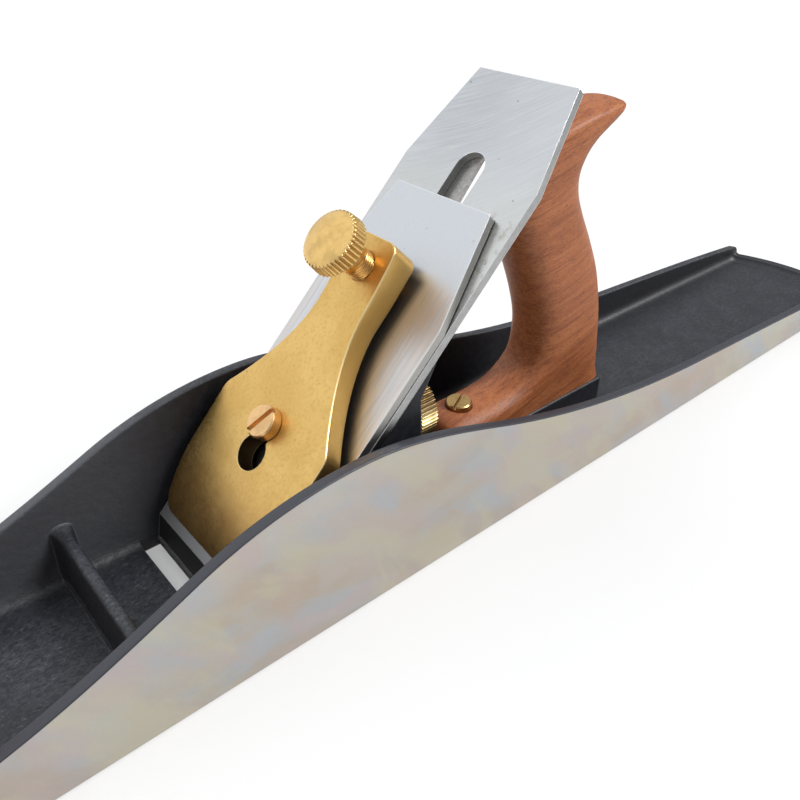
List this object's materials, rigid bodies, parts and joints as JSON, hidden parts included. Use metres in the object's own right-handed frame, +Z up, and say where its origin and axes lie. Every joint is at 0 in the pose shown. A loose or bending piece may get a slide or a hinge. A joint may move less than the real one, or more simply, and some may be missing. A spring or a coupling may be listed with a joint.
{
  "type": "metal bench plane",
  "caption": "Long metal bench plane with cast body, adjustable frog, cutting iron, cap iron, bronze lever cap with thumbscrew, wooden rear handle and front knob.",
  "frame": {"origin": "under the middle of the sole, on the sole's flat face", "axes": "+X towards the toe, +Y towards the left side of the plane, +Z up"},
  "size_m": [0.5589, 0.0746, 0.145],
  "materials": {
    "cast_body": "black paint inside, ground bare outside",
    "cast_frog": "black paint with a machined face",
    "steel": "satin",
    "ground_steel": "ground satin",
    "brass": "polished",
    "bronze": "satin with fine pits",
    "hardwood": "satin varnish"
  },
  "bodies": {
    "body": {"body_casting": "cast_body", "frog_screws": "steel", "frog_washers": "steel", "tote": "hardwood", "tote_rod": "steel", "tote_nut": "brass", "tote_toe_screw": "brass", "front_knob": "hardwood", "knob_rod": "steel", "knob_nut": "brass"},
    "frog_set": {"frog": "cast_frog", "frog_clip": "steel", "frog_clip_screw": "steel", "depth_stud": "steel", "y_lever_pin": "steel", "lateral_pivot": "steel", "lever_cap_screw": "bronze"},
    "frog_adjuster": {"frog_adjusting_screw": "steel"},
    "depth_hub": {"depth_nut": "brass"},
    "depth_wheel_body": {"depth_wheel": "brass"},
    "y_lever_body": {"y_lever": "steel"},
    "lateral_lever_body": {"lateral_lever": "steel"},
    "roller": {"lateral_roller": "steel"},
    "iron_carriage": {"cap_iron_screw": "steel"},
    "irons": {"cutting_iron": "ground_steel", "cap_iron": "ground_steel"},
    "lever_cap_body": {"lever_cap": "bronze"},
    "thumb_stem": {"thumbscrew_stem": "brass"},
    "thumb_knob": {"thumbscrew_knob": "brass"}
  },
  "joints": [
    {"name": "frog_slide", "type": "slide", "parent": "body", "child": "frog_set", "axis": [1, 0, 0], "range_m": [-0.002, 0]},
    {"name": "frog_screw_turn", "type": "hinge", "parent": "frog_set", "child": "frog_adjuster", "pos_m": [0.046, 0, 0.009], "axis": [1, 0, 0], "range_deg": [-722, 2]},
    {"name": "depth_nut_slide", "type": "slide", "parent": "frog_set", "child": "depth_hub", "axis": [1, 0, 0], "range_m": [-0.00583, 0.0004]},
    {"name": "depth_wheel_turn", "type": "hinge", "parent": "depth_hub", "child": "depth_wheel_body", "pos_m": [0.025, 0, 0.039], "axis": [1, 0, 0], "range_deg": [-90, 1397]},
    {"name": "y_lever_swing", "type": "hinge", "parent": "frog_set", "child": "y_lever_body", "pos_m": [0.04834, 0, 0.05116], "axis": [0, 1, 0], "range_deg": [-1.8, 27.5]},
    {"name": "iron_feed", "type": "slide", "parent": "frog_set", "child": "iron_carriage", "axis": [0.7071, 0, -0.7071], "range_m": [-0.0005, 0.0078]},
    {"name": "iron_swing", "type": "hinge", "parent": "iron_carriage", "child": "irons", "pos_m": [0.08747, 0, 0.03253], "axis": [0.7071, 0, 0.7071], "range_deg": [-0.4, 1.7]},
    {"name": "lateral_swing", "type": "hinge", "parent": "frog_set", "child": "lateral_lever_body", "pos_m": [0.04399, 0, 0.07601], "axis": [0.7071, 0, 0.7071], "range_deg": [-10.1, 2.1]},
    {"name": "roller_spin", "type": "hinge", "parent": "lateral_lever_body", "child": "roller", "pos_m": [0.04998, 0.00059, 0.07002], "axis": [0.7071, 0, 0.7071], "continuous": true},
    {"name": "lever_cap_release", "type": "slide", "parent": "frog_set", "child": "lever_cap_body", "axis": [-0.7071, 0, 0.7071], "range_m": [0, 0.0102]},
    {"name": "thumbscrew_lift", "type": "slide", "parent": "lever_cap_body", "child": "thumb_stem", "axis": [0.7071, 0, 0.7071], "range_m": [0, 0.0045]},
    {"name": "thumbscrew_turn", "type": "hinge", "parent": "thumb_stem", "child": "thumb_knob", "pos_m": [0.03267, 0, 0.08733], "axis": [0.7071, 0, 0.7071], "range_deg": [0, 1081]}
  ],
  "couplings": [
    {"joint": "frog_screw_turn", "follows": "frog_slide", "rad_per_m": 6283.2},
    {"joint": "depth_wheel_turn", "follows": "iron_feed", "rad_per_m": 3124.7},
    {"joint": "depth_nut_slide", "follows": "iron_feed", "ratio": -0.74597},
    {"joint": "y_lever_swing", "follows": "iron_feed", "rad_per_m": 61.35},
    {"joint": "iron_swing", "follows": "lateral_swing", "ratio": -0.16},
    {"joint": "thumbscrew_turn", "follows": "thumbscrew_lift", "rad_per_m": 4188.8}
  ]
}
